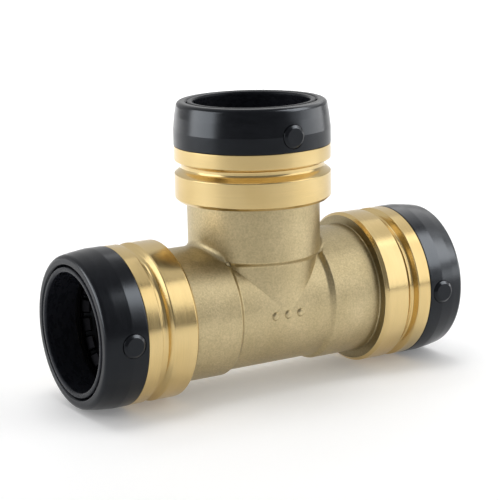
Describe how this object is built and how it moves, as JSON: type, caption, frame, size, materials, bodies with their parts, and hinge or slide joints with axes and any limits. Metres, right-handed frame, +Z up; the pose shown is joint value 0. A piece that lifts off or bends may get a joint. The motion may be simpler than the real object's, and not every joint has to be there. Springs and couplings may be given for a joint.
{
  "type": "push to connect fitting",
  "caption": "Brass push-to-connect equal tee: cast body, turned collars with a groove, black plastic end caps and press-in release collars for a pipe in each leg.",
  "frame": {"origin": "on the ground below the point where the three leg axes meet, at the height of the lowest point of the end caps", "axes": "+X along the run, +Z up along the branch, -Y towards the front"},
  "size_m": [0.1492, 0.0582, 0.1029],
  "materials": {
    "cast_brass": "bead blasted casting, with the collars turned bright",
    "black_plastic": "moulded, satin gloss",
    "ring_plastic": "moulded, matte",
    "seal_rubber": "greased EPDM",
    "spring_steel": "stamped stainless spring strip, blackened"
  },
  "bodies": {
    "body": {"tee_body": "cast_brass", "left_o_ring": "seal_rubber", "left_o_ring_protector": "ring_plastic", "left_end_cap": "black_plastic", "left_lock_pin_front": "black_plastic", "left_lock_pin_back": "black_plastic", "right_o_ring": "seal_rubber", "right_o_ring_protector": "ring_plastic", "right_end_cap": "black_plastic", "right_lock_pin_front": "black_plastic", "right_lock_pin_back": "black_plastic", "top_o_ring": "seal_rubber", "top_o_ring_protector": "ring_plastic", "top_end_cap": "black_plastic", "top_lock_pin_front": "black_plastic", "top_lock_pin_back": "black_plastic"},
    "left_grip": {"left_grab_ring": "spring_steel", "left_support_ring": "ring_plastic"},
    "left_release": {"left_release_collar": "black_plastic"},
    "right_grip": {"right_grab_ring": "spring_steel", "right_support_ring": "ring_plastic"},
    "right_release": {"right_release_collar": "black_plastic"},
    "top_grip": {"top_grab_ring": "spring_steel", "top_support_ring": "ring_plastic"},
    "top_release": {"top_release_collar": "black_plastic"}
  },
  "joints": [
    {"name": "left_grip_swivel", "type": "hinge", "parent": "body", "child": "left_grip", "pos_m": [-0.059, 0, 0.0283], "axis": [-1, 0, 0], "continuous": true},
    {"name": "left_release_press", "type": "slide", "parent": "left_grip", "child": "left_release", "axis": [1, 0, 0], "range_m": [0, 0.0032], "stiffness_N_per_m": 3000},
    {"name": "right_grip_swivel", "type": "hinge", "parent": "body", "child": "right_grip", "pos_m": [0.059, 0, 0.0283], "axis": [1, 0, 0], "continuous": true},
    {"name": "right_release_press", "type": "slide", "parent": "right_grip", "child": "right_release", "axis": [-1, 0, 0], "range_m": [0, 0.0032], "stiffness_N_per_m": 3000},
    {"name": "top_grip_swivel", "type": "hinge", "parent": "body", "child": "top_grip", "pos_m": [0, 0, 0.0873], "axis": [0, 0, 1], "continuous": true},
    {"name": "top_release_press", "type": "slide", "parent": "top_grip", "child": "top_release", "axis": [0, 0, -1], "range_m": [0, 0.0032], "stiffness_N_per_m": 3000}
  ]
}
